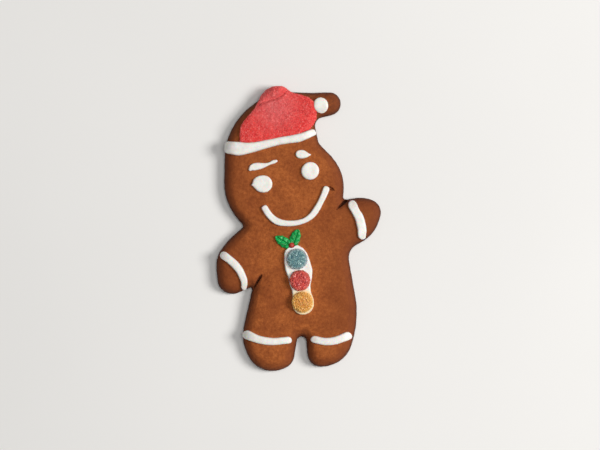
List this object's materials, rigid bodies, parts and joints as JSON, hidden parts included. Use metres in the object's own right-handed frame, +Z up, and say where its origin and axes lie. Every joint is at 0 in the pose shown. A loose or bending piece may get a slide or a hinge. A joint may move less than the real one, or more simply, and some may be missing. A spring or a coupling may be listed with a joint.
{
  "type": "gingerbread man cookie",
  "caption": "Flat, soft gingerbread man biscuit in a red iced winter hat, with piped white face and bands, sugared jelly buttons and sugar holly.",
  "frame": {"origin": "on the flat underside, in the middle of the biscuit's width and length", "axes": "+Y towards the hat, +X to the right seen from above, +Z up out of the iced side"},
  "size_m": [0.124, 0.2148, 0.0186],
  "materials": {
    "gingerbread": "soft baked gingerbread, matt and finely grained, darker round its edges",
    "red_icing": "red icing with a dry, finely sugared surface",
    "white_icing": "smooth piped white icing, set firm, with a soft sheen",
    "blue_jelly": "blue grey jelly sweet coated in sugar grains",
    "red_jelly": "red jelly sweet coated in sugar grains",
    "yellow_jelly": "amber yellow jelly sweet coated in sugar grains",
    "green_sugar": "moulded green sugar paste with a soft gloss",
    "red_sugar": "moulded red sugar paste with a soft gloss"
  },
  "bodies": {
    "root": {"gingerbread": "gingerbread", "hat_icing": "red_icing", "hat_brim": "white_icing", "pompom": "white_icing", "eye_left": "white_icing", "eye_right": "white_icing", "eyebrow_left": "white_icing", "eyebrow_right": "white_icing", "smile": "white_icing", "arm_band_left": "white_icing", "arm_band_right": "white_icing", "leg_band_left": "white_icing", "leg_band_right": "white_icing", "button_icing": "white_icing", "candy_blue": "blue_jelly", "candy_red": "red_jelly", "candy_yellow": "yellow_jelly", "holly_leaf_left": "green_sugar", "holly_leaf_right": "green_sugar", "holly_berry": "red_sugar"}
  },
  "joints": []
}
